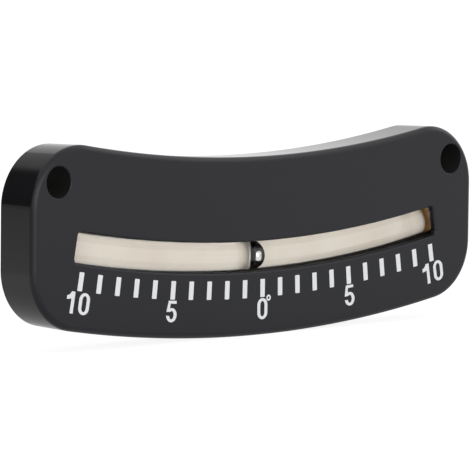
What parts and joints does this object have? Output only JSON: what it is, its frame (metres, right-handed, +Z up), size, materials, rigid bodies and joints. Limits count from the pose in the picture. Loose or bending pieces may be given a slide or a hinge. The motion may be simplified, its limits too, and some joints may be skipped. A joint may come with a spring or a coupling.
{
  "type": "inclinometer",
  "caption": "Curved ball-tube inclinometer: a steel ball in a bent glass tube reads slope on a printed degree scale; black wall-mounted body with screw holes.",
  "frame": {"origin": "middle of the flat back, on the body's centre line half way up its waist", "axes": "+Y out of the back into the wall, the scale faces -Y; +Z up; +X to the right as the scale is read"},
  "size_m": [0.1094, 0.0088, 0.0358],
  "materials": {
    "housing_plastic": "black, fine satin face and glossy sides",
    "cover_plastic": "matte black",
    "zinc_screw": "zinc plated",
    "clear_glass": "clear, polished",
    "polished_steel": "polished bearing ball",
    "amber_resin": "amber sealing resin",
    "cream_plastic": "cream, matte",
    "white_ink": "white printed ink"
  },
  "bodies": {
    "housing": {"front_housing": "housing_plastic", "rear_cover": "cover_plastic", "cover_screw_1": "zinc_screw", "cover_screw_2": "zinc_screw", "cover_screw_3": "zinc_screw", "cover_screw_4": "zinc_screw", "glass_tube": "clear_glass", "end_plug_left": "amber_resin", "end_plug_right": "amber_resin", "backing_strip": "cream_plastic", "scale_tick_left_10": "white_ink", "scale_tick_left_09": "white_ink", "scale_tick_left_08": "white_ink", "scale_tick_left_07": "white_ink", "scale_tick_left_06": "white_ink", "scale_tick_left_05": "white_ink", "scale_tick_left_04": "white_ink", "scale_tick_left_03": "white_ink", "scale_tick_left_02": "white_ink", "scale_tick_left_01": "white_ink", "scale_tick_centre_00": "white_ink", "scale_tick_right_01": "white_ink", "scale_tick_right_02": "white_ink", "scale_tick_right_03": "white_ink", "scale_tick_right_04": "white_ink", "scale_tick_right_05": "white_ink", "scale_tick_right_06": "white_ink", "scale_tick_right_07": "white_ink", "scale_tick_right_08": "white_ink", "scale_tick_right_09": "white_ink", "scale_tick_right_10": "white_ink", "number_left_10_digit_1": "white_ink", "number_left_10_digit_2": "white_ink", "number_left_5_digit_1": "white_ink", "number_centre_0_digit_1": "white_ink", "number_right_5_digit_1": "white_ink", "number_right_10_digit_1": "white_ink", "number_right_10_digit_2": "white_ink", "degree_ring": "white_ink"},
    "ball": {"steel_ball": "polished_steel"}
  },
  "joints": [
    {"name": "ball_roll", "type": "hinge", "parent": "housing", "child": "ball", "pos_m": [0, -0.00465, 0.24497], "axis": [0, -1, 0], "range_deg": [-10.6, 10]}
  ]
}
